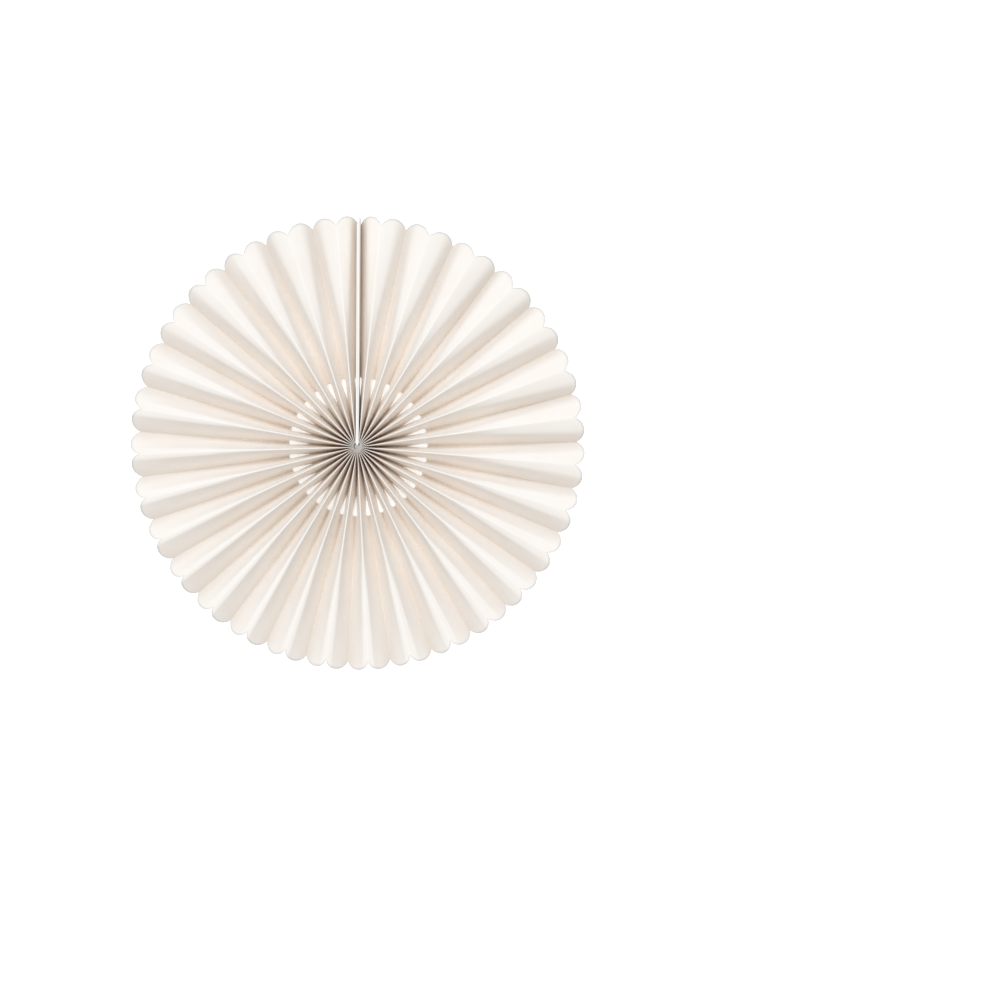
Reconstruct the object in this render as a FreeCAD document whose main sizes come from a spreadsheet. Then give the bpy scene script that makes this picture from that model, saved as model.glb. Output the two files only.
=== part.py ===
import FreeCAD, Part
import math
import os
import Sketcher
from FreeCAD import Vector

# Paper fan rosette: one long strip of paper folded to and fro like an accordion, its two end
# panels stuck on stiff cards, the cards stuck to each other so that the fan closes into a disc.
# A thread through every panel near the middle holds the hub together.
# Frame: the rosette lies on its back, its front to +Z and its seam towards +Y. The origin is
# on the hub's axis, at the height of the hub's back. Lengths are in millimetres.

# Driving dimensions
DIMENSIONS = {
    "pleat_count": (30, "ridges round the disc"),
    "paper_thickness": (0.2, "the folded paper"),
    "panel_width": (25.0, "from fold to fold, so also the hub's depth"),
    "rim_radius": (200.0, "circle through the tips of the scallops"),
    "scallop_rise": (7.5, "from the folds' outer ends up to the scallops' tips"),
    "hub_offset": (3.5, "from the middle of the rim circle down to the hub"),
    "hub_hole_radius": (3.2, "the opening that the panels' inner ends leave"),
    "seam_panel_chord": (18.5, "plan width at the rim of the two panels beside the seam"),
    "rim_crowding": (4.5, "degrees by which the rim is spread at the top and crowded below"),
    "rim_skew": (2.4, "degrees by which the rim's lowest folds are turned clockwise"),
    "soft_bends": (7, "stretches into which the twist of a panel is divided"),
    "slot_inner_end": (43.0, "pointed end of a punched slot, from the hub's axis"),
    "slot_outer_end": (61.5, "round end of a punched slot, from the hub's axis"),
    "slot_width": (4.2, "across the round end, seen from the front"),
    "card_thickness": (1.0, "each of the two end cards"),
    "card_inner_end": (1.5, "from the hub's axis to the cards"),
    "card_overhang": (1.5, "the cards' round tips beyond the rim"),
    "card_end_rise": (11.0, "how far the cards' round ends bulge"),
    "tape_thickness": (0.1, "double-sided tape between the cards"),
    "tape_width": (18.0, "across the tape"),
    "tape_inner_end": (20.0, "from the hub's axis to the tape"),
    "tape_length": (160.0, "along the tape"),
    "thread_thickness": (0.8, "binding thread, pulled square in the punched holes"),
    "thread_ring_radius": (7.0, "from the hub's axis to the thread"),
    "thread_clearance": (0.2, "round the thread, in its punched holes"),
}

doc = FreeCAD.newDocument("paper_fan_rosette")


def make_sheet():
    """The spreadsheet with one driving dimension to a row: its value, alias and note."""
    sheet = doc.addObject("Spreadsheet::Sheet", "Sizes")
    for row, (alias, (value, note)) in enumerate(DIMENSIONS.items(), start=1):
        sheet.set(f"A{row}", str(value))
        sheet.set(f"B{row}", note)
        sheet.setAlias(f"A{row}", alias)
    doc.recompute()
    return sheet


sizes = make_sheet()

# Sizes that follow from the driving ones
pleat_count = int(sizes.pleat_count)
panel_count = 2 * pleat_count
paper = sizes.paper_thickness
width = sizes.panel_width
hub_depth = width + paper
middle_height = hub_depth / 2
fold_end_radius = sizes.rim_radius - sizes.scallop_rise
# The end panels' middle planes lie this far from the seam's own middle.
seam_half = sizes.tape_thickness / 2 + sizes.card_thickness + paper / 2
# The folded sheet is made a little too long and then trimmed to the rim's outline.
rim_spare = 5.0
# Scallops and slots are small, so their arcs are cut into a few straight sides.
scallop_sides = 12
slot_end_sides = 6
# The thread is pulled taut, so it runs round the hub in straight stretches.
thread_stretches = 12


def plan_point(radius, angle, centre_y=0.0):
    """Point seen from the front, at an angle clockwise from the seam."""
    return Vector(radius * math.sin(angle), centre_y + radius * math.cos(angle), 0)


# Where the folds run, seen from the front
def rim_angle(fold):
    """Angle of a fold's outer end about the middle of the rim circle."""
    at_seam = math.asin(seam_half / fold_end_radius)
    first = at_seam + 2 * math.asin(sizes.seam_panel_chord / 2 / fold_end_radius)
    if fold == 0:
        return at_seam
    if fold == panel_count:
        return 2 * math.pi - at_seam
    share = (fold - 1) / (panel_count - 2)
    crowding = math.radians(sizes.rim_crowding) * math.sin(2 * math.pi * share)
    skew = math.radians(sizes.rim_skew) * math.sin(math.pi * share) ** 2
    return first + share * 2 * (math.pi - first) + crowding + skew


def hub_angle(fold):
    """Angle of a fold's inner end about the hub, evenly spaced beside the cards."""
    at_seam = math.asin(seam_half / sizes.hub_hole_radius)
    return at_seam + fold * 2 * (math.pi - at_seam) / panel_count


def fold_inner_end(fold):
    return plan_point(sizes.hub_hole_radius, hub_angle(fold))


def fold_outer_end(fold):
    return plan_point(fold_end_radius, rim_angle(fold), sizes.hub_offset)


def along_fold(fold, share):
    """Point of a fold seen from the front, at a share of its length from the hub."""
    start = fold_inner_end(fold)
    return start + (fold_outer_end(fold) - start) * share


def bend_shares():
    """Shares of a fold's length where the panels bend, closer together towards the hub."""
    bends = int(sizes.soft_bends)
    growth = (sizes.rim_radius + rim_spare) / sizes.hub_hole_radius
    length = fold_end_radius - sizes.hub_hole_radius
    radii = [sizes.hub_hole_radius * growth ** (bend / bends) for bend in range(bends + 1)]
    return [(radius - sizes.hub_hole_radius) / length for radius in radii]


# How high the folds lie: a panel keeps its width, so it stands steep where the folds are
# close together and lies flatter towards the rim.
def chord(fold, neighbour, share):
    return (along_fold(fold, share) - along_fold(neighbour, share)).Length


def mean_chord(fold, share):
    """Plan distance from a fold to its neighbours."""
    neighbours = [n for n in (fold - 1, fold + 1) if 0 <= n <= panel_count]
    return sum(chord(fold, n, share) for n in neighbours) / len(neighbours)


def fold_height(fold, share):
    """Height of a fold in the middle of the paper: odd folds are ridges, even ones valleys.
    The spare paper beyond a fold's outer end stays level with that end."""
    share = min(share, 1)
    seam_valley = paper / 2
    if fold in (0, panel_count):
        return seam_valley
    if fold in (1, panel_count - 1):
        seam_fold = 0 if fold == 1 else panel_count
        return seam_valley + math.sqrt(width**2 - chord(fold, seam_fold, share) ** 2)
    rise = math.sqrt(width**2 - mean_chord(fold, share) ** 2) / 2
    return middle_height + rise if fold % 2 else middle_height - rise


def sheet_line(fold, side):
    """Points along a fold on the paper's front (side 1) or back (side -1)."""
    points = []
    for share in bend_shares():
        point = along_fold(fold, share)
        # A panel this steep is this thick when measured upwards.
        upright_thickness = paper * width / mean_chord(fold, share)
        point.z = fold_height(fold, share) + side * upright_thickness / 2
        points.append(point)
    return points


def flat_face(*corners):
    return Part.Face(Part.makePolygon(list(corners) + [corners[0]]))


def arc_points(start, middle, end, sides):
    """Points of an arc cut into short straight sides, without its last one."""
    return Part.Arc(start, middle, end).toShape().discretize(Number=sides + 1)[:-1]


def panel_faces(fold, line, next_line):
    """One side of a panel: flat facets, bent along soft diagonals that rise from the outer
    end of a valley to the ridge further in, as twisted paper does."""
    valley, ridge = (next_line, line) if fold % 2 else (line, next_line)
    faces = []
    for bend in range(len(valley) - 1):
        faces.append(flat_face(valley[bend], valley[bend + 1], ridge[bend]))
        faces.append(flat_face(ridge[bend], valley[bend + 1], ridge[bend + 1]))
    return faces


def zigzag_solid():
    """The pleats between the two seam folds, not yet trimmed at the rim."""
    front = [sheet_line(fold, 1) for fold in range(panel_count + 1)]
    back = [sheet_line(fold, -1) for fold in range(panel_count + 1)]
    faces = []
    for fold in range(panel_count):
        faces += panel_faces(fold, front[fold], front[fold + 1])
        faces += panel_faces(fold, back[fold], back[fold + 1])
        for end in (0, -1):
            faces.append(flat_face(front[fold][end], front[fold + 1][end],
                                   back[fold + 1][end], back[fold][end]))
    for fold in (0, panel_count):
        faces.append(flat_face(*front[fold], *reversed(back[fold])))
    shell = Part.makeShell(faces)
    shell.sewShape()
    return Part.makeSolid(shell)


def scalloped_outline():
    """The rim seen from the front: one arc over the end of each panel."""
    points = []
    for fold in range(panel_count):
        tip_angle = (rim_angle(fold) + rim_angle(fold + 1)) / 2
        tip = plan_point(sizes.rim_radius, tip_angle, sizes.hub_offset)
        points += arc_points(fold_outer_end(fold), tip, fold_outer_end(fold + 1), scallop_sides)
    return flat_face(*points)


def slot_outline(fold):
    """A punched slot seen from the front: a drop with its point towards the hub."""
    start = fold_inner_end(fold)
    outwards = (fold_outer_end(fold) - start).normalize()
    sideways = Vector(-outwards.y, outwards.x, 0)
    # The slot's ends are measured from the hub's axis, along the fold's own line.
    foot = start - outwards * start.dot(outwards)
    end_radius = sizes.slot_width / 2
    point = foot + outwards * sizes.slot_inner_end
    round_centre = foot + outwards * (sizes.slot_outer_end - end_radius)
    lean = math.acos(end_radius / (round_centre - point).Length)
    inwards = outwards * -math.cos(lean)
    aside = sideways * math.sin(lean)
    left = round_centre + (inwards + aside) * end_radius
    right = round_centre + (inwards - aside) * end_radius
    tip = round_centre + outwards * end_radius
    return flat_face(point, *arc_points(left, tip, right, slot_end_sides), right)


def slot_cutter(fold):
    """The slot's outline raised through both panels of a valley. At the seam it stops where
    the sloping panel leaves it, so that the end panel on the card keeps its upper part."""
    height = hub_depth
    if fold in (0, panel_count):
        neighbour = 1 if fold == 0 else panel_count - 1
        share = sizes.slot_outer_end / fold_end_radius
        height = sizes.slot_width / 2 * width / chord(fold, neighbour, share)
    return slot_outline(fold).extrude(Vector(0, 0, height))


# Document objects
def coded_shape(name, shape):
    """A shape worked out above from the sheet's sizes."""
    feature = doc.addObject("Part::Feature", name)
    feature.Shape = shape
    return feature


def bound(kind, name, **formulas):
    """An object whose named properties follow formulas of the sheet's cells."""
    item = doc.addObject(kind, name)
    for prop, formula in formulas.items():
        item.setExpression(prop, formula)
    return item


def set_place(item, x="0", y="0", z="0"):
    """Bind where an object stands."""
    for axis, formula in (("x", x), ("y", y), ("z", z)):
        item.setExpression(f"Placement.Base.{axis}", formula)
    return item


HUB_DEPTH = "(Sizes.panel_width + Sizes.paper_thickness)"
MIDDLE_HEIGHT = f"{HUB_DEPTH} / 2"


def add_sized(sketch, constraints):
    """Add dimensions to a sketch, each bound to its formula."""
    for constraint, formula in constraints:
        index = sketch.addConstraint(Sketcher.Constraint(*constraint))
        sketch.setExpression(f"Constraints[{index}]", formula)


def draw_upright_strip(sketch, tip, end_rise, height):
    """Outline of a strip on edge beside the seam, its outer end an arc.
    The arguments are formulas: how far out it reaches, how far its arc bulges, its height."""
    arc_radius = f"(({height}) ^ 2 / 4 + ({end_rise}) ^ 2) / (2 * ({end_rise}))"
    low = paper / 2
    high = low + float(sketch.evalExpression(height))
    begin = sizes.card_inner_end
    corner = float(sketch.evalExpression(f"{tip} - {end_rise}"))
    radius = float(sketch.evalExpression(arc_radius))
    half_angle = math.asin((high - low) / 2 / radius)
    arc_centre = Vector(corner - radius * math.cos(half_angle), (low + high) / 2, 0)
    circle = Part.Circle(arc_centre, Vector(0, 0, 1), radius)
    bottom, inner, top, arc = sketch.addGeometry([
        Part.LineSegment(Vector(begin, low, 0), Vector(corner, low, 0)),
        Part.LineSegment(Vector(begin, high, 0), Vector(begin, low, 0)),
        Part.LineSegment(Vector(corner, high, 0), Vector(begin, high, 0)),
        Part.ArcOfCircle(circle, -half_angle, half_angle),
    ], False)
    origin, start, end, centre = -1, 1, 2, 3
    relations = [
        ("Horizontal", bottom),
        ("Vertical", inner),
        ("Horizontal", top),
        ("Coincident", bottom, start, inner, end),
        ("Coincident", inner, start, top, end),
        ("Coincident", bottom, end, arc, start),
        ("Coincident", top, start, arc, end),
        ("Vertical", arc, start, arc, end),
    ]
    for relation in relations:
        sketch.addConstraint(Sketcher.Constraint(*relation))
    add_sized(sketch, [
        (("DistanceX", origin, start, bottom, start, begin), "Sizes.card_inner_end"),
        (("DistanceY", origin, start, bottom, start, low), "Sizes.paper_thickness / 2"),
        (("DistanceY", bottom, start, top, end, high - low), height),
        (("DistanceX", origin, start, arc, start, corner), f"{tip} - {end_rise}"),
        (("DistanceX", origin, start, arc, centre, arc_centre.x), f"{tip} - {arc_radius}"),
    ])


def draw_thread_hole(sketch):
    """Round hole for the binding thread, at mid height."""
    place = Vector(sizes.thread_ring_radius, middle_height, 0)
    radius = sizes.thread_thickness * math.sqrt(2) / 2 + sizes.thread_clearance
    hole = sketch.addGeometry(Part.Circle(place, Vector(0, 0, 1), radius), False)
    origin, start, centre = -1, 1, 3
    add_sized(sketch, [
        (("DistanceX", origin, start, hole, centre, place.x), "Sizes.thread_ring_radius"),
        (("DistanceY", origin, start, hole, centre, place.y), MIDDLE_HEIGHT),
        (("Radius", hole, radius), "Sizes.thread_thickness * sqrt(2) / 2 + Sizes.thread_clearance"),
    ])


def end_card(name, left_face):
    """A stiff card on edge beside the seam. left_face is the formula of its left face's place."""
    body = doc.addObject("PartDesign::Body", name)
    body.Label = name
    sketch = body.newObject("Sketcher::SketchObject", f"{name}_outline")
    plane = next(item for item in body.Origin.OriginFeatures if item.Role == "YZ_Plane")
    sketch.AttachmentSupport = [(plane, "")]
    sketch.MapMode = "FlatFace"
    draw_upright_strip(sketch, "(Sizes.rim_radius + Sizes.hub_offset + Sizes.card_overhang)",
                       "Sizes.card_end_rise", "Sizes.panel_width")
    draw_thread_hole(sketch)
    pad = body.newObject("PartDesign::Pad", f"{name}_pad")
    pad.Profile = sketch
    pad.setExpression("Length", "Sizes.card_thickness")
    set_place(body, x=left_face)
    return body


def adhesive_tape():
    """Flat strip of double-sided tape that holds the two cards together."""
    tape = bound("Part::Box", "adhesive_tape", Length="Sizes.tape_thickness",
                 Width="Sizes.tape_length", Height="Sizes.tape_width")
    return set_place(tape, x="-Sizes.tape_thickness / 2", y="Sizes.tape_inner_end",
                     z=f"{MIDDLE_HEIGHT} - Sizes.tape_width / 2")


def thread_ring(name, reach):
    """Many-sided ring about the hub's axis at mid height, its section twice the reach.
    The middle of one side crosses the seam, so that it goes straight through the cards."""
    rims = []
    half_side = 180 / thread_stretches
    for rim_name, sign in ((f"{name}_outside", "+"), (f"{name}_inside", "-")):
        side_distance = f"(Sizes.thread_ring_radius {sign} ({reach}))"
        rim = bound("Part::Prism", rim_name, Height=f"2 * ({reach})",
                    Circumradius=f"{side_distance} / cos({half_side} deg)")
        rim.Polygon = thread_stretches
        rim.Placement.Rotation = FreeCAD.Rotation(Vector(0, 0, 1), half_side)
        rims.append(set_place(rim, z=f"{MIDDLE_HEIGHT} - ({reach})"))
    ring = doc.addObject("Part::Cut", name)
    ring.Base, ring.Tool = rims
    return ring


def end_panel(name, left_face):
    """The strip's last panel, which stands flat against a card."""
    sketch = doc.addObject("Sketcher::SketchObject", f"{name}_outline")
    # Its round end begins a little beyond the outer end of the seam fold.
    draw_upright_strip(sketch, "(Sizes.rim_radius + Sizes.hub_offset)",
                       "(Sizes.scallop_rise - 5 * Sizes.paper_thickness)", HUB_DEPTH)
    along, upwards, across = Vector(0, 1, 0), Vector(0, 0, 1), Vector(1, 0, 0)
    sketch.Placement = FreeCAD.Placement(Vector(), FreeCAD.Rotation(along, upwards, across, "XYZ"))
    panel = bound("Part::Extrusion", name, LengthFwd="Sizes.paper_thickness")
    panel.Base = sketch
    panel.DirMode = "Custom"
    panel.Dir = across
    panel.Solid = True
    # Lowered to the height of the other folds' backs
    return set_place(panel, x=left_face, z="-Sizes.paper_thickness / 2")


def pleated_paper():
    """The folded strip: pleats trimmed to the scallops, end panels, slots and thread holes."""
    rim = bound("Part::Extrusion", "rim_prism", LengthFwd=HUB_DEPTH)
    rim.Base = coded_shape("rim_outline", scalloped_outline())
    rim.DirMode = "Custom"
    rim.Dir = Vector(0, 0, 1)
    rim.Solid = True
    trimmed = doc.addObject("Part::Common", "trimmed_pleats")
    trimmed.Base = coded_shape("untrimmed_pleats", zigzag_solid())
    trimmed.Tool = rim
    stack = "Sizes.tape_thickness / 2 + Sizes.card_thickness"
    strip = doc.addObject("Part::MultiFuse", "whole_strip")
    strip.Shapes = [
        trimmed,
        end_panel("end_panel_right", stack),
        end_panel("end_panel_left", f"-({stack} + Sizes.paper_thickness)"),
    ]
    slots = [slot_cutter(fold) for fold in range(0, panel_count + 1, 2)]
    slotted = doc.addObject("Part::Cut", "slotted_strip")
    slotted.Base = strip
    slotted.Tool = coded_shape("slot_cutters", Part.makeCompound(slots))
    finished = doc.addObject("Part::Cut", "pleated_paper")
    finished.Base = slotted
    finished.Tool = thread_ring("thread_channel",
                                "Sizes.thread_thickness / 2 + Sizes.thread_clearance")
    return finished


def check_and_write(nodes):
    """Stop at any failed object, then write each sub-part under its label."""
    doc.recompute()
    for item in doc.Objects:
        if "Invalid" in item.State or "Error" in item.State:
            raise RuntimeError(f"{item.Name} failed: {item.State}")
    for node in nodes:
        shape = node.Shape
        if shape.isNull() or not shape.isValid() or len(shape.Solids) != 1:
            raise RuntimeError(f"{node.Label} is not one valid solid")
    os.makedirs("parts", exist_ok=True)
    for node in nodes:
        node.Shape.exportStep(f"parts/{node.Label}.step")
        print(node.Label, round(node.Shape.Volume, 1), "mm3")


check_and_write([
    pleated_paper(),
    end_card("end_card_right", "Sizes.tape_thickness / 2"),
    end_card("end_card_left", "-Sizes.tape_thickness / 2 - Sizes.card_thickness"),
    adhesive_tape(),
    thread_ring("binding_thread", "Sizes.thread_thickness / 2"),
])
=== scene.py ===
import math
import random

import bmesh
import bpy
import numpy as np
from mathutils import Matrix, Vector, noise


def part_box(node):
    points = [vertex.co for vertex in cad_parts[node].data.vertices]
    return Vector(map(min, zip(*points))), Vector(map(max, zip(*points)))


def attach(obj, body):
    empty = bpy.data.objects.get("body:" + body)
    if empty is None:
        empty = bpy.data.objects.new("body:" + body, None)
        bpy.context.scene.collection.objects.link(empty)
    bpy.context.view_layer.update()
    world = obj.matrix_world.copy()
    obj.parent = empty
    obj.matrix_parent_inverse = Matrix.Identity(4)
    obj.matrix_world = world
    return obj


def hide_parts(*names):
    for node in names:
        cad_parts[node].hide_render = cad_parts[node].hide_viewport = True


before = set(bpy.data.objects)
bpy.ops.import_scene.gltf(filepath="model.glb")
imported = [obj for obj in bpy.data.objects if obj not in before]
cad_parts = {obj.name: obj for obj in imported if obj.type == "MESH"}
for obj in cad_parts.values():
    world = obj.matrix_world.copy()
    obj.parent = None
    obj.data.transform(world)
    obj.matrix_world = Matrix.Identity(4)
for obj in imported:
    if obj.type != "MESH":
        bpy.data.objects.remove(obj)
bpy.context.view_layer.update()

# Paper fan rosette, lying on its back on a white table and seen from straight above.
# Frame: the hub's axis is +Z, the seam of the fan runs from the hub towards +Y.
# Lengths are in metres. Folds are numbered clockwise from the seam: odd ones are ridges,
# even ones valleys, and the first and last are the seam's own valleys.
MM = 0.001

# Sizes that the frame gives
paper_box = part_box("pleated_paper")
card_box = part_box("end_card_right")
HUB_DEPTH = paper_box[1].z
SEAM_FACE = card_box[1].x

# Sizes of the folded strip. The rim's circle lies a little towards the seam from the hub's axis.
# Along the rim the panels beside the seam are narrower, the folds crowd towards the bottom, and
# the lowest ones are turned clockwise. The end panels' scallops are a little flatter.
PAPER = 0.2 * MM
PANEL_WIDTH = HUB_DEPTH - PAPER
PANELS = 60
RIM_RADIUS = 200 * MM
SCALLOP_RISE = 7.5 * MM
HUB_OFFSET = 3.5 * MM
HUB_HOLE_RADIUS = 3.2 * MM
SEAM_PANEL_CHORD = 18.5 * MM
RIM_CROWDING = math.radians(4.5)
RIM_SKEW = math.radians(2.4)
SLOT_INNER_END = 43 * MM
SLOT_OUTER_END = 61.5 * MM
SLOT_WIDTH = 4.2 * MM
END_SCALLOP_RISE = SCALLOP_RISE - 5 * PAPER
FOLD_END_RADIUS = RIM_RADIUS - SCALLOP_RISE
SEAM_HALF = SEAM_FACE + PAPER / 2
MIDDLE_HEIGHT = HUB_DEPTH / 2

# Folds: each is a tight arc over a share of the panel's width. The ridges are rounder than the
# valleys, but pressed as sharp where they come close together, nearer to the hub than the reach.
VALLEY_ARC = 0.013
RIDGE_ARC = 0.034
RIDGE_ARC_REACH = 35 * MM

# Soft crease: beyond it the panel lies flatter, with this share of the slope, up to the ridge.
# It starts at a share of the fold's length. The flat part's width is a share of the panel's,
# and swings with the direction from the hub, which is given clockwise from the seam.
CREASE_START = 0.25
CREASE_SHARE_HUB = 0.055
CREASE_SHARE_RIM = 0.40
CREASE_SWING = 0.24
CREASE_WIDEST = math.radians(30)
CREASE_GROWTH = 1.3
CREASE_SHARPENING = 1.6
CREASE_SOFTNESS = 0.25
FLATTER = 0.2

# Handwork: between what factors the flat part's width differs, how uneven the folds' heights
# are at the rim, and slight ripples, which are full from a third of the fold's length on and
# differ between panels as far apart in the noise as the shift says
LEAN = (0.75, 1.15)
UNEVEN_HEIGHT = 0.6 * MM
RIPPLE = 0.3 * MM
RIPPLE_LENGTH = 55 * MM
RIPPLES_ACROSS = 2.5
RIPPLES_FULL = 1 / 3
RIPPLE_SHIFT = 3.7
HANDWORK_SEED = 7
rng = random.Random(HANDWORK_SEED)

# Painted light that the paper's material reads from the mesh: a highlight on the ridges and
# shade in the valleys and at the hub. Their widths are shares of the panel's, and the valley's
# painted shade is a thin line over a wide shade.
RIDGE_HIGHLIGHT_WIDTH = 1.5 * RIDGE_ARC
VALLEY_SHADE_LINE_WIDTH = 0.07
VALLEY_SHADE_LINE = 0.25
VALLEY_SHADE_WIDTH = 0.5
VALLEY_SHADE = 0.75
HUB_SHADE_REACH = 42 * MM


# Folds seen from the front
def plan_point(radius, angle, centre_y=0.0):
    """Point at an angle clockwise from the seam."""
    return Vector((radius * math.sin(angle), centre_y + radius * math.cos(angle)))


def rim_angle(fold):
    """Angle of a fold's outer end about the middle of the rim circle."""
    at_seam = math.asin(SEAM_HALF / FOLD_END_RADIUS)
    if fold == 0:
        return at_seam
    if fold == PANELS:
        return 2 * math.pi - at_seam
    first = at_seam + 2 * math.asin(SEAM_PANEL_CHORD / 2 / FOLD_END_RADIUS)
    share = (fold - 1) / (PANELS - 2)
    crowding = RIM_CROWDING * math.sin(2 * math.pi * share)
    skew = RIM_SKEW * math.sin(math.pi * share) ** 2
    return first + share * 2 * (math.pi - first) + crowding + skew


def hub_angle(fold):
    """Angle of a fold's inner end about the hub."""
    at_seam = math.asin(SEAM_HALF / HUB_HOLE_RADIUS)
    return at_seam + fold * 2 * (math.pi - at_seam) / PANELS


class Fold:
    """A fold's line seen from the front, and how uneven its height is at the rim."""

    def __init__(self, number):
        self.start = plan_point(HUB_HOLE_RADIUS, hub_angle(number))
        self.end = plan_point(FOLD_END_RADIUS, rim_angle(number), HUB_OFFSET)
        self.outwards = (self.end - self.start).normalized()
        self.start_reach = self.start.dot(self.outwards)
        self.end_reach = self.end.dot(self.outwards)
        self.uneven = rng.uniform(-UNEVEN_HEIGHT, UNEVEN_HEIGHT)

    def at(self, reach):
        """Point of the line at a distance from the hub's axis."""
        return self.start + self.outwards * (reach - self.start_reach)


folds = [Fold(number) for number in range(PANELS + 1)]


def spaced(start, end, count):
    """Numbers from start up to, but without, end."""
    return [start + (end - start) * i / count for i in range(count)]


# Rows of the sheet: circles about the hub as far as the slots, then shares of what is left
ROUND_CENTRE = SLOT_OUTER_END - SLOT_WIDTH / 2
SLOT_TAPER = math.asin(SLOT_WIDTH / 2 / (ROUND_CENTRE - SLOT_INNER_END))
ROUND_START = ROUND_CENTRE - SLOT_WIDTH / 2 * math.sin(SLOT_TAPER)
ROWS_TO_SLOT = 14
ROWS_ALONG_SLOT = 5
ROWS_AT_ROUND_END = 6
ROWS_TO_RIM = 24
GROWTH_TO_SLOT = SLOT_INNER_END / HUB_HOLE_RADIUS
INNER_REACHES = [
    HUB_HOLE_RADIUS * GROWTH_TO_SLOT**share for share in spaced(0, 1, ROWS_TO_SLOT)
]
INNER_REACHES += spaced(SLOT_INNER_END, ROUND_START, ROWS_ALONG_SLOT)
INNER_REACHES += [
    ROUND_CENTRE + SLOT_WIDTH / 2 * math.sin(angle)
    for angle in spaced(-SLOT_TAPER, math.pi / 2, ROWS_AT_ROUND_END)
]
# The last rows lie close together, for a thin painted shadow line along the rim. They are given
# as their distances from it, outermost last, and how strong the painted shadow is there.
OUTER_LENGTH = FOLD_END_RADIUS - SLOT_OUTER_END
RIM_ROWS = [2.7 * MM, 1.44 * MM, 0.72 * MM, 0]
RIM_SHADOW_TONES = [0.0, 0.1, 0.75, 1.0]
OUTER_SHARES = spaced(0, 1 - RIM_ROWS[0] / OUTER_LENGTH, ROWS_TO_RIM)
OUTER_SHARES += [1 - distance / OUTER_LENGTH for distance in RIM_ROWS]
ROWS = len(INNER_REACHES) + len(OUTER_SHARES)
# The rows spread out to the scallop beyond this share of the outer length.
SPREAD_START = 0.75


def row_reach(fold, row):
    """Distance of a row from the hub's axis, along a fold."""
    if row < len(INNER_REACHES):
        return INNER_REACHES[row]
    share = OUTER_SHARES[row - len(INNER_REACHES)]
    return SLOT_OUTER_END + (fold.end_reach - SLOT_OUTER_END) * share


def row_share(row):
    """Share of the fold's length at which a row lies, near enough."""
    past_hole = row_reach(folds[PANELS // 2], row) - HUB_HOLE_RADIUS
    return past_hole / (FOLD_END_RADIUS - HUB_HOLE_RADIUS)


def spread(row):
    """How far a row's middle has moved towards the scallop's edge, from 0 to 1."""
    share = OUTER_SHARES[row - len(INNER_REACHES)] if row >= len(INNER_REACHES) else 0
    return max(0.0, (share - SPREAD_START) / (1 - SPREAD_START)) ** 2


def slot_half_width(row):
    """Half the width of a punched slot at a row, seen from the front."""
    if row >= len(INNER_REACHES):
        return 0.0
    reach = INNER_REACHES[row]
    if reach <= SLOT_INNER_END:
        return 0.0
    if reach < ROUND_START:
        return (reach - SLOT_INNER_END) * math.tan(SLOT_TAPER)
    return math.sqrt(max(0.0, (SLOT_WIDTH / 2) ** 2 - (reach - ROUND_CENTRE) ** 2))


def chord(fold, other, row):
    """Distance between two folds at a row, seen from the front."""
    return (fold.at(row_reach(fold, row)) - other.at(row_reach(other, row))).length


def fold_height(number, row):
    """Height of a fold in the middle of the paper: a panel keeps its width, so it stands
    steep near the hub and lies flatter towards the rim."""
    fold = folds[number]
    if number in (0, PANELS):
        return PAPER / 2
    if number in (1, PANELS - 1):
        seam_fold = folds[0 if number == 1 else PANELS]
        return PAPER / 2 + math.sqrt(PANEL_WIDTH**2 - chord(fold, seam_fold, row) ** 2)
    mean = (chord(fold, folds[number - 1], row) + chord(fold, folds[number + 1], row)) / 2
    rise = math.sqrt(PANEL_WIDTH**2 - mean**2) / 2
    uneven = fold.uneven * row_share(row) ** 2
    return MIDDLE_HEIGHT + (rise if number % 2 else -rise) + uneven


# Cross-section of a panel, from its valley to its ridge
FLANK_COLUMNS = 4
SECTION_STEPS = 100
# The slot widens the columns from the valley up to this one, counted from the ridge.
LAST_SLOT_COLUMN = -4


def smooth(share):
    """Rises from 0 to 1 without a kink. The share is a number or an array."""
    share = np.clip(share, 0, 1)
    return share * share * (3 - 2 * share)


def past_crease_start(row):
    """How far a row lies beyond the crease's start: 0 there and 1 at the rim."""
    return (row_share(row) - CREASE_START) / (1 - CREASE_START)


def crease_share(number, row, lean=1.0):
    """Share of a panel's width, from the ridge, that lies flatter."""
    swing = CREASE_SWING * math.cos(rim_angle(number) - CREASE_WIDEST)
    at_rim = (CREASE_SHARE_RIM + swing) * lean
    growth = min(max(past_crease_start(row), 0.0), 1.0) ** CREASE_GROWTH
    return CREASE_SHARE_HUB + (at_rim - CREASE_SHARE_HUB) * growth


def ridge_arc(row):
    """Share of the panel's width over which its paper turns up to the ridge."""
    reach = row_reach(folds[PANELS // 2], row)
    return max(VALLEY_ARC, RIDGE_ARC * min(1.0, reach / RIDGE_ARC_REACH))


def column_shares(crease, arc):
    """Shares of the panel's width, from valley to ridge, at which a row has its points."""
    bend = 1 - crease
    soft = crease * CREASE_SOFTNESS
    columns = [0, VALLEY_ARC / 2, VALLEY_ARC]
    columns += spaced(VALLEY_SHADE_LINE_WIDTH, bend - soft, FLANK_COLUMNS)
    columns += [bend - soft, bend, bend + soft]
    columns += [(bend + soft + 1 - arc) / 2]
    return columns + [1 - arc, 1 - arc / 2, 1]


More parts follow.
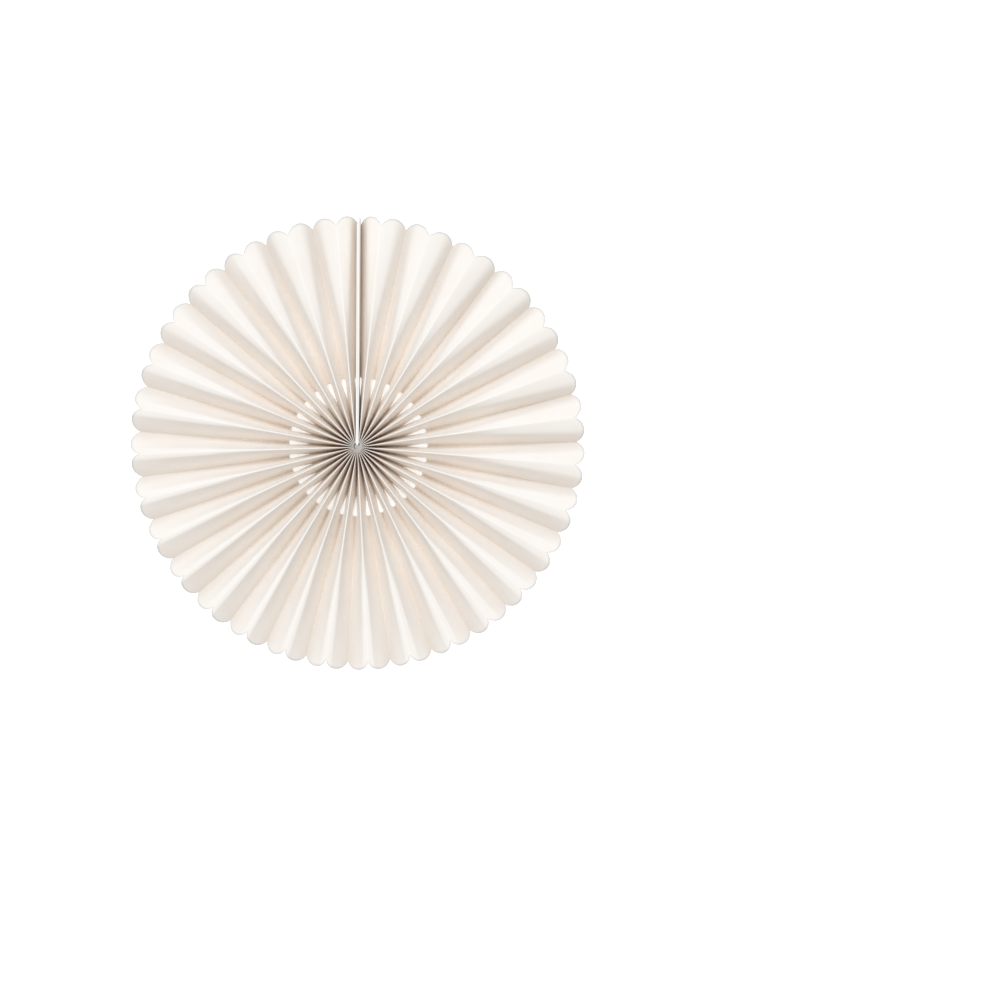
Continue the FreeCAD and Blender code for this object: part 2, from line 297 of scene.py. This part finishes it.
def cross_section(length, height, crease, flatness, arc):
    """Distances from the valley seen from the front, heights above it, and shares of the
    panel's width, for each column. The flatness is 1 where the panel is bent in full at its
    crease, and 0 where there is no crease."""
    shares = np.array(column_shares(crease, arc))
    fine = np.unique(np.concatenate([shares, np.linspace(0, 1, SECTION_STEPS + 1)]))
    middles = (fine[1:] + fine[:-1]) / 2
    soft = crease * CREASE_SOFTNESS
    bent = smooth((middles - (1 - crease - soft)) / (2 * soft))
    slopes = 1 - flatness * (1 - FLATTER) * bent
    slopes *= height / length / slopes.mean()
    at_folds = np.clip(np.minimum(middles / VALLEY_ARC, (1 - middles) / arc), 0, 1)
    angles = np.arctan(slopes) * at_folds
    steps = np.diff(fine)
    along = np.concatenate([[0], np.cumsum(np.cos(angles) * steps)])
    up = np.concatenate([[0], np.cumsum(np.sin(angles) * steps)])
    along *= length / along[-1]
    up *= height / up[-1]
    return np.interp(shares, fine, along), np.interp(shares, fine, up), shares


def cut_slot(along, up, shares, half_width):
    """Move the columns beside the valley to the edge of the slot."""
    limit = along[LAST_SLOT_COLUMN]
    moved = np.where(along < limit, half_width + (limit - half_width) * along / limit, along)
    return moved, np.interp(moved, along, up), np.interp(moved, along, shares)


def panel_section(number, row, lean, length, height):
    """The cross-section of a panel at a row, with its slot cut."""
    crease = crease_share(number, row, lean)
    flatness = smooth(past_crease_start(row) * CREASE_SHARPENING)
    section = cross_section(length, height, crease, flatness, ridge_arc(row))
    half_width = slot_half_width(row)
    return cut_slot(*section, half_width) if half_width > 0 else section


def section_normals(along, up):
    """Directions across the paper, towards its front, upright at both folds."""
    steps = np.stack([np.diff(along), np.diff(up)], axis=1)
    steps /= np.linalg.norm(steps, axis=1, keepdims=True)
    mean = np.vstack([[[1, 0]], steps[:-1] + steps[1:], [[1, 0]]])
    mean /= np.linalg.norm(mean, axis=1, keepdims=True)
    return np.stack([-mean[:, 1], mean[:, 0]], axis=1)


def circle_through(a, b, c):
    """Centre and radius of the circle through three points of the plan."""
    ab, ac = b - a, c - a
    double_area = 2 * (ab.x * ac.y - ab.y * ac.x)
    aside = Vector((ac.y * ab.length_squared - ab.y * ac.length_squared,
                    ab.x * ac.length_squared - ac.x * ab.length_squared)) / double_area
    return a + aside, aside.length


def way_to_circle(point, direction, centre, radius):
    """How many times the direction leads from a point inside a circle to the circle."""
    from_centre = point - centre
    a = direction.length_squared
    b = from_centre.dot(direction)
    c = from_centre.length_squared - radius**2
    return (-b + math.sqrt(max(0.0, b * b - a * c))) / a


# Painted light and shade at a point, from 0 to 1
def ridge_highlight_tone(share):
    """Painted highlight: full on the ridge and 0 away from it."""
    return max(0.0, 1 - (1 - share) / RIDGE_HIGHLIGHT_WIDTH)


def valley_shade_tone(share, row):
    """Painted shade, strongest in the valley: a line all along it, and a shade that grows
    towards the rim.
    """
    line = max(0.0, 1 - share / VALLEY_SHADE_LINE_WIDTH)
    shade = max(0.0, 1 - share / VALLEY_SHADE_WIDTH) * row_share(row) ** 2
    return VALLEY_SHADE_LINE * line + VALLEY_SHADE * shade


def hub_shade_tone(share, row):
    """Painted shade, strongest deep down at the hub, 0 on the ridges and from the slots on
    outwards.
    """
    return smooth(1 - row_reach(folds[PANELS // 2], row) / HUB_SHADE_REACH) * (1 - share)


def rim_shadow_tone(row):
    """Painted shadow line, full on the scallop's edge and 0 a little inside."""
    rows_left = row - ROWS
    return RIM_SHADOW_TONES[rows_left] if rows_left >= -len(RIM_SHADOW_TONES) else 0.0


# Rows at which a slot is open
OPEN_ROWS = {row for row in range(ROWS) if slot_half_width(row) > 0}


class Sheet:
    """The strip's mesh as it grows, with the painted light and shade that its material reads."""

    def __init__(self):
        self.mesh = bmesh.new()
        # Painted light carried by the mesh: a highlight on the ridges, shade in the valleys and
        # at the hub, and a shadow line along the rim
        self.ridge_highlight = self.mesh.verts.layers.float.new("ridge_highlight")
        self.valley = self.mesh.verts.layers.float.new("valley")
        self.hub_shade = self.mesh.verts.layers.float.new("hub_shade")
        self.rim = self.mesh.verts.layers.float.new("rim")

    def point(self, place, share, row):
        """A point of the mesh, with the painted light and shade of its place on the panel."""
        vert = self.mesh.verts.new(place)
        vert[self.ridge_highlight] = ridge_highlight_tone(share)
        vert[self.valley] = valley_shade_tone(share, row)
        vert[self.hub_shade] = hub_shade_tone(share, row)
        vert[self.rim] = rim_shadow_tone(row)
        return vert

    def close(self, front, back):
        """Faces between two grids of points: both sides, both ends and the slot's edge,
        which is the first column where a slot is open."""
        faces = self.mesh.faces
        rows, columns = len(front), len(front[0])
        for r in range(rows - 1):
            for c in range(columns - 1):
                faces.new((front[r][c], front[r][c + 1], front[r + 1][c + 1], front[r + 1][c]))
                faces.new((back[r][c], back[r + 1][c], back[r + 1][c + 1], back[r][c + 1]))
            if r in OPEN_ROWS or r + 1 in OPEN_ROWS:
                faces.new((front[r][0], front[r + 1][0], back[r + 1][0], back[r][0]))
        for c in range(columns - 1):
            faces.new((front[0][c], back[0][c], back[0][c + 1], front[0][c + 1]))
            faces.new((front[-1][c], front[-1][c + 1], back[-1][c + 1], back[-1][c]))


def ripple(number, share, row, reach):
    """How far a point of a panel is moved across the paper by its ripples."""
    where = (number * RIPPLE_SHIFT, share * RIPPLES_ACROSS, reach / RIPPLE_LENGTH)
    growth = smooth(row_share(row) / RIPPLES_FULL)
    return RIPPLE * noise.noise(Vector(where)) * math.sin(math.pi * share) * growth


def add_panel(sheet, number):
    """One of the panels round the disc, between two folds."""
    valley, ridge = (number, number + 1) if number % 2 == 0 else (number + 1, number)
    valley_fold, ridge_fold = folds[valley], folds[ridge]
    lean = rng.uniform(*LEAN)
    tip_angle = (rim_angle(number) + rim_angle(number + 1)) / 2
    tip = plan_point(RIM_RADIUS, tip_angle, HUB_OFFSET)
    centre, radius = circle_through(valley_fold.end, tip, ridge_fold.end)
    front, back = [], []
    for row in range(ROWS):
        start = valley_fold.at(row_reach(valley_fold, row))
        end = ridge_fold.at(row_reach(ridge_fold, row))
        length = (end - start).length
        sideways = (end - start) / length
        low = fold_height(valley, row)
        height = fold_height(ridge, row) - low
        along, up, shares = panel_section(number, row, lean, length, height)
        normals = section_normals(along, up)
        if row in OPEN_ROWS:
            normals[0] = normals[1]
        front_row, back_row = [], []
        for x, z, share, normal in zip(along, up, shares, normals):
            across = x / length
            outwards = valley_fold.outwards.lerp(ridge_fold.outwards, across)
            to_edge = way_to_circle(valley_fold.end.lerp(ridge_fold.end, across),
                                    outwards, centre, radius)
            place = start + sideways * x + outwards * (to_edge * spread(row))
            moved = ripple(number, share, row, place.length)
            for points, side in ((front_row, 1), (back_row, -1)):
                offset = side * PAPER / 2 + moved
                flat = place + sideways * (normal[0] * offset)
                level = low + z + normal[1] * offset
                level = min(max(level, 0), HUB_DEPTH)
                points.append(sheet.point(Vector((flat.x, flat.y, level)), share, row))
        front.append(front_row)
        back.append(back_row)
    if valley > ridge:
        front, back = back, front
    sheet.close(front, back)


def add_end_panel(sheet, number, seam_side):
    """The strip's last panel, flat against a card. seam_side is 1 on the right, -1 left."""
    fold = folds[number]
    neighbour = folds[1 if number == 0 else PANELS - 1]
    arc_radius = (PANEL_WIDTH**2 / 4 + END_SCALLOP_RISE**2) / (2 * END_SCALLOP_RISE)
    front, back = [], []
    for row in range(ROWS):
        shares = np.array(column_shares(crease_share(number, row), ridge_arc(row)))
        cut = slot_half_width(row) / chord(fold, neighbour, row)
        shares = cut + (1 - cut) * shares
        front_row, back_row = [], []
        for share in shares:
            bulge = math.sqrt(arc_radius**2 - (PANEL_WIDTH * (share - 0.5)) ** 2)
            bulge -= arc_radius - END_SCALLOP_RISE
            reach = row_reach(fold, row) + bulge * spread(row)
            middle = fold.at(reach)
            on_fold = share == 0
            for points, side in ((front_row, 1), (back_row, -1)):
                aside = 0 if on_fold else seam_side * side * PAPER / 2
                lift = side * PAPER / 2 if on_fold else 0
                level = PAPER / 2 + share * PANEL_WIDTH + lift
                place = Vector((middle.x + aside, middle.y, level))
                points.append(sheet.point(place, share, row))
        front.append(front_row)
        back.append(back_row)
    faces = sheet.mesh.faces
    for r in range(ROWS - 1):
        faces.new((front[r][-1], front[r + 1][-1], back[r + 1][-1], back[r][-1]))
    if seam_side > 0:
        front, back = back, front
    sheet.close(front, back)


# Points closer than this become one. It is tiny, because the walls of a fold all but touch at
# the hub. Edges that turn by more than the angle are shaded sharp.
WELD = 0.0001 * MM
SHARP_ANGLE = math.radians(60)


def finish_mesh(mesh, name, material):
    """Weld a bmesh's points, turn its faces outwards and make it an object."""
    bmesh.ops.remove_doubles(mesh, verts=mesh.verts, dist=WELD)
    bmesh.ops.recalc_face_normals(mesh, faces=mesh.faces)
    data = bpy.data.meshes.new(name)
    mesh.to_mesh(data)
    mesh.free()
    data.shade_smooth()
    data.set_sharp_from_angle(angle=SHARP_ANGLE)
    data.materials.append(material)
    piece = bpy.data.objects.new(name, data)
    bpy.context.scene.collection.objects.link(piece)
    return piece


def folded_strip(material):
    """The whole folded and punched strip as one closed mesh."""
    sheet = Sheet()
    for number in range(PANELS):
        add_panel(sheet, number)
    add_end_panel(sheet, 0, 1)
    add_end_panel(sheet, PANELS, -1)
    return finish_mesh(sheet.mesh, "folded_paper_strip", material)


# Binding thread. Round strands side by side would need 2.15 times a strand's thickness; these
# are pressed together a little.
THREAD_THICKNESS = 0.8 * MM
THREAD_RING_RADIUS = 7 * MM
STRANDS = 3
STRAND_RADIUS = THREAD_THICKNESS / 2 / 2.1
LAY_RADIUS = THREAD_THICKNESS / 2 - STRAND_RADIUS
TWISTS = 22
STEPS_PER_TWIST = 6


def twisted_thread(material):
    """Round thread of three strands laid round each other, drawn through all the panels."""
    curve = bpy.data.curves.new("twisted_thread", "CURVE")
    curve.dimensions = "3D"
    curve.bevel_depth = STRAND_RADIUS
    curve.bevel_resolution = 1
    steps = TWISTS * STEPS_PER_TWIST
    for strand in range(STRANDS):
        spline = curve.splines.new("POLY")
        spline.points.add(steps - 1)
        for i, point in enumerate(spline.points):
            turn = 2 * math.pi * i / steps
            twist = turn * TWISTS + 2 * math.pi * strand / STRANDS
            radius = THREAD_RING_RADIUS + LAY_RADIUS * math.cos(twist)
            height = MIDDLE_HEIGHT + LAY_RADIUS * math.sin(twist)
            point.co = (radius * math.cos(turn), radius * math.sin(turn), height, 1)
        spline.use_cyclic_u = True
    curve.materials.append(material)
    piece = bpy.data.objects.new("twisted_thread", curve)
    bpy.context.scene.collection.objects.link(piece)
    return piece


# Materials
class Nodes:
    """Short names for building a material's nodes."""

    def __init__(self, name):
        self.material = bpy.data.materials.new(name)
        self.material.use_nodes = True
        self.tree = self.material.node_tree
        self.shader = self.tree.nodes["Principled BSDF"]

    def add(self, kind, **properties):
        """A node, with its properties set by name."""
        node = self.tree.nodes.new(kind)
        for name, value in properties.items():
            setattr(node, name, value)
        return node

    def link(self, source, target):
        """Join an output to an input."""
        self.tree.links.new(source, target)

    def noise(self, scale, detail=3.0, stretch=(1, 1, 1)):
        """Noise in the object's own coordinates, as its value's socket."""
        place = self.add("ShaderNodeTexCoord")
        mapping = self.add("ShaderNodeMapping")
        mapping.inputs["Scale"].default_value = stretch
        texture = self.add("ShaderNodeTexNoise")
        texture.inputs["Scale"].default_value = scale
        texture.inputs["Detail"].default_value = detail
        self.link(place.outputs["Object"], mapping.inputs["Vector"])
        self.link(mapping.outputs["Vector"], texture.inputs["Vector"])
        return texture.outputs["Fac"]

    def attribute(self, name):
        """What the mesh carries under a name."""
        node = self.add("ShaderNodeAttribute", attribute_name=name)
        return node.outputs["Fac"]

    def shares(self, factor, low, high):
        """Map a factor from low..high to 0..1."""
        node = self.add("ShaderNodeMapRange")
        node.inputs["From Min"].default_value = low
        node.inputs["From Max"].default_value = high
        self.link(factor, node.inputs["Value"])
        return node.outputs["Result"]

    def times(self, factor, share):
        """A factor made weaker."""
        node = self.add("ShaderNodeMath", operation="MULTIPLY")
        self.link(factor, node.inputs[0])
        node.inputs[1].default_value = share
        return node.outputs["Value"]

    def mix(self, factor, first, second):
        """Mix of two colours. Each is a socket or red, green and blue."""
        node = self.add("ShaderNodeMix", data_type="RGBA")
        self.link(factor, node.inputs["Factor"])
        for value, socket in ((first, node.inputs[6]), (second, node.inputs[7])):
            if isinstance(value, tuple):
                socket.default_value = (*value, 1)
            else:
                self.link(value, socket)
        return node.outputs[2]

    def bump(self, height, strength, distance, normal=None):
        """Relief that shading alone shows, on top of another where a normal is given."""
        node = self.add("ShaderNodeBump")
        node.inputs["Strength"].default_value = strength
        node.inputs["Distance"].default_value = distance
        self.link(height, node.inputs["Height"])
        if normal is not None:
            self.link(normal, node.inputs["Normal"])
        return node.outputs["Normal"]

    def finish(self, colour, normal, roughness, specular=0.3):
        """The material, with its shader's inputs set."""
        self.link(colour, self.shader.inputs["Base Color"])
        self.link(normal, self.shader.inputs["Normal"])
        self.shader.inputs["Roughness"].default_value = roughness
        self.shader.inputs["Specular IOR Level"].default_value = specular
        return self.material


# Painted light of the paper, in the order in which it is laid on: the name that the mesh
# carries, how strong it is, and its colour. These are painted shade in the valleys and at the
# hub, a painted highlight on the ridges and a painted shadow line along the rim.
PAINTED_LIGHT_TONES = (
    ("valley", 0.9, (0.66, 0.60, 0.54)),
    ("hub_shade", 0.9, (0.62, 0.43, 0.30)),
    ("ridge_highlight", 0.7, (0.925, 0.88, 0.828)),
    ("rim", 0.8, (0.61, 0.615, 0.60)),
)


def paper_material():
    """Uncoated cream paper: cloudy, with a faint blush and fine fibres, with painted shade in
    the valleys and at the hub, a painted shadow line along the rim and a painted highlight along
    the ridges."""
    nodes = Nodes("cream_paper")
    clouds = nodes.shares(nodes.noise(scale=28, detail=4), low=0.35, high=0.65)
    colour = nodes.mix(clouds, (0.885, 0.834, 0.778), (0.898, 0.855, 0.805))
    blush = nodes.noise(scale=14, detail=2, stretch=(1, 1.3, 0.4))
    blush = nodes.times(nodes.shares(blush, low=0.5, high=0.72), 0.4)
    colour = nodes.mix(blush, colour, (0.908, 0.832, 0.776))
    fibres = nodes.noise(scale=900, detail=5)
    speckle = nodes.times(nodes.shares(fibres, low=0.45, high=0.8), 0.25)
    colour = nodes.mix(speckle, colour, (0.86, 0.807, 0.75))
    # Lay on the painted shade, highlight and shadow line
    for name, strength, tone in PAINTED_LIGHT_TONES:
        colour = nodes.mix(nodes.times(nodes.attribute(name), strength), colour, tone)
    grain = nodes.noise(scale=160, detail=4)
    normal = nodes.bump(grain, strength=0.12, distance=0.4 * MM)
    normal = nodes.bump(fibres, strength=0.25, distance=0.06 * MM, normal=normal)
    return nodes.finish(colour, normal, roughness=0.9, specular=0.15)


def card_material():
    """Stiff off-white board, with fine layers along its cut edge."""
    nodes = Nodes("white_board")
    layers = nodes.noise(scale=500, detail=4, stretch=(6, 0.25, 1))
    shade = nodes.shares(layers, low=0.3, high=0.7)
    colour = nodes.mix(shade, (0.90, 0.89, 0.86), (0.94, 0.935, 0.915))
    normal = nodes.bump(layers, strength=0.2, distance=0.05 * MM)
    return nodes.finish(colour, normal, roughness=0.8)


def tape_material():
    """Thin double-sided tape, clouded by its glue."""
    nodes = Nodes("double_sided_tape")
    glue = nodes.noise(scale=300)
    colour = nodes.mix(glue, (0.86, 0.85, 0.80), (0.92, 0.92, 0.89))
    normal = nodes.bump(glue, strength=0.15, distance=0.03 * MM)
    return nodes.finish(colour, normal, roughness=0.45, specular=0.5)


def thread_material():
    """Spun cotton."""
    nodes = Nodes("cotton_thread")
    spun = nodes.noise(scale=2500, stretch=(1, 1, 3))
    colour = nodes.mix(spun, (0.80, 0.77, 0.70), (0.93, 0.91, 0.86))
    normal = nodes.bump(spun, strength=0.5, distance=0.05 * MM)
    return nodes.finish(colour, normal, roughness=0.85)


# The table glows a little, so that it stays white inside the slots.
TABLE_GLOW = 0.35
TABLE_GLOW_COLOUR = (0.94, 1, 1.06)


def table_material():
    """Plain white, smooth and matte."""
    nodes = Nodes("white_table")
    grain = nodes.noise(scale=40, detail=2)
    colour = nodes.mix(grain, (0.93, 0.93, 0.93), (0.95, 0.95, 0.95))
    normal = nodes.bump(grain, strength=0.02, distance=0.1 * MM)
    nodes.shader.inputs["Emission Color"].default_value = (*TABLE_GLOW_COLOUR, 1)
    nodes.shader.inputs["Emission Strength"].default_value = TABLE_GLOW
    return nodes.finish(colour, normal, roughness=0.95, specular=0.1)


# Stage
FLOOR_SIZE = 12.0
FLOOR_GAP = 0.05 * MM


def table_top():
    """A flat white table under the rosette."""
    mesh = bmesh.new()
    half = FLOOR_SIZE / 2
    corners = [mesh.verts.new((x, y, -FLOOR_GAP)) for x, y in
               ((-half, -half), (half, -half), (half, half), (-half, half))]
    mesh.faces.new(corners)
    floor = finish_mesh(mesh, "table_top", table_material())


# Camera: the photograph's frame is 1000 pixels wide and high, the hub's axis shows at this
# pixel, and the seam leans this far to the right at its top.
PHOTO_PIXELS = 1000
HUB_PIXEL = (357.8, 446.8)
SEAM_LEAN = math.radians(0.3)
METRES_PER_PIXEL = 0.8805 * MM
LENS = 100.0
SENSOR = 36.0


def add_camera():
    """Straight above, so placed that the hub shows where the photograph has it."""
    data = bpy.data.cameras.new("camera")
    data.lens = LENS
    data.sensor_width = SENSOR
    camera = bpy.data.objects.new("camera", data)
    bpy.context.scene.collection.objects.link(camera)
    right = Vector((math.cos(SEAM_LEAN), math.sin(SEAM_LEAN), 0))
    up = Vector((-right.y, right.x, 0))
    middle = PHOTO_PIXELS / 2
    aim = right * (middle - HUB_PIXEL[0]) * METRES_PER_PIXEL
    aim += up * (HUB_PIXEL[1] - middle) * METRES_PER_PIXEL
    distance = METRES_PER_PIXEL * PHOTO_PIXELS * LENS / SENSOR
    camera.location = aim + Vector((0, 0, MIDDLE_HEIGHT + distance))
    camera.rotation_euler = (0, 0, SEAM_LEAN)
    bpy.context.scene.camera = camera


# Light: a bright room, a soft lamp beside the camera and one towards the top of the picture.
# A lamp's brightness is that of white paper that faces it. Its softness is how wide it looks;
# this, the tilt and the turn are in degrees.
FRONT_LAMP = {
    "tilt": 0,
    "turn": 0,
    "softness": 60,
    "brightness": 0.41,
    "colour": (0.99, 1.0, 1.01),
}
KEY_LAMP = {
    "tilt": 38,
    "turn": -12,
    "softness": 22,
    "brightness": 0.30,
    "colour": (0.93, 1.0, 1.09),
}
ROOM_BRIGHTNESS = 0.455
ROOM_COLOUR = (1.0, 0.99, 0.975)
# The light goes to and fro between the panels many times before it leaves a pleat.
LIGHT_BOUNCES = 12


def add_lamp(name, lamp):
    """A distant lamp, tilted from straight above and turned clockwise from the seam."""
    sun = bpy.data.lights.new(name, "SUN")
    sun.energy = lamp["brightness"] * math.pi
    sun.angle = math.radians(lamp["softness"])
    sun.color = lamp["colour"]
    piece = bpy.data.objects.new(name, sun)
    bpy.context.scene.collection.objects.link(piece)
    tilt, turn = math.radians(lamp["tilt"]), math.radians(lamp["turn"])
    aside = plan_point(math.sin(tilt), turn)
    towards = Vector((aside.x, aside.y, math.cos(tilt)))
    piece.rotation_euler = towards.to_track_quat("Z", "Y").to_euler()


def add_light():
    """Both lamps and the room's even light."""
    add_lamp("front_lamp", FRONT_LAMP)
    add_lamp("key_lamp", KEY_LAMP)
    world = bpy.data.worlds.new("bright_room")
    world.use_nodes = True
    sky = world.node_tree.nodes["Background"]
    sky.inputs["Color"].default_value = (*ROOM_COLOUR, 1)
    sky.inputs["Strength"].default_value = ROOM_BRIGHTNESS
    scene = bpy.context.scene
    scene.world = world
    scene.view_settings.view_transform = "Standard"
    scene.cycles.max_bounces = LIGHT_BOUNCES
    scene.cycles.diffuse_bounces = LIGHT_BOUNCES


def dress(name, material):
    """Give a CAD node its finish."""
    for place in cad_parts[name].material_slots:
        place.material = material


strip = folded_strip(paper_material())
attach(strip, "root")
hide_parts("pleated_paper")

thread = twisted_thread(thread_material())
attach(thread, "root")
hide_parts("binding_thread")

board = card_material()
dress("end_card_right", board)
dress("end_card_left", board)
dress("adhesive_tape", tape_material())

table_top()
add_light()
add_camera()
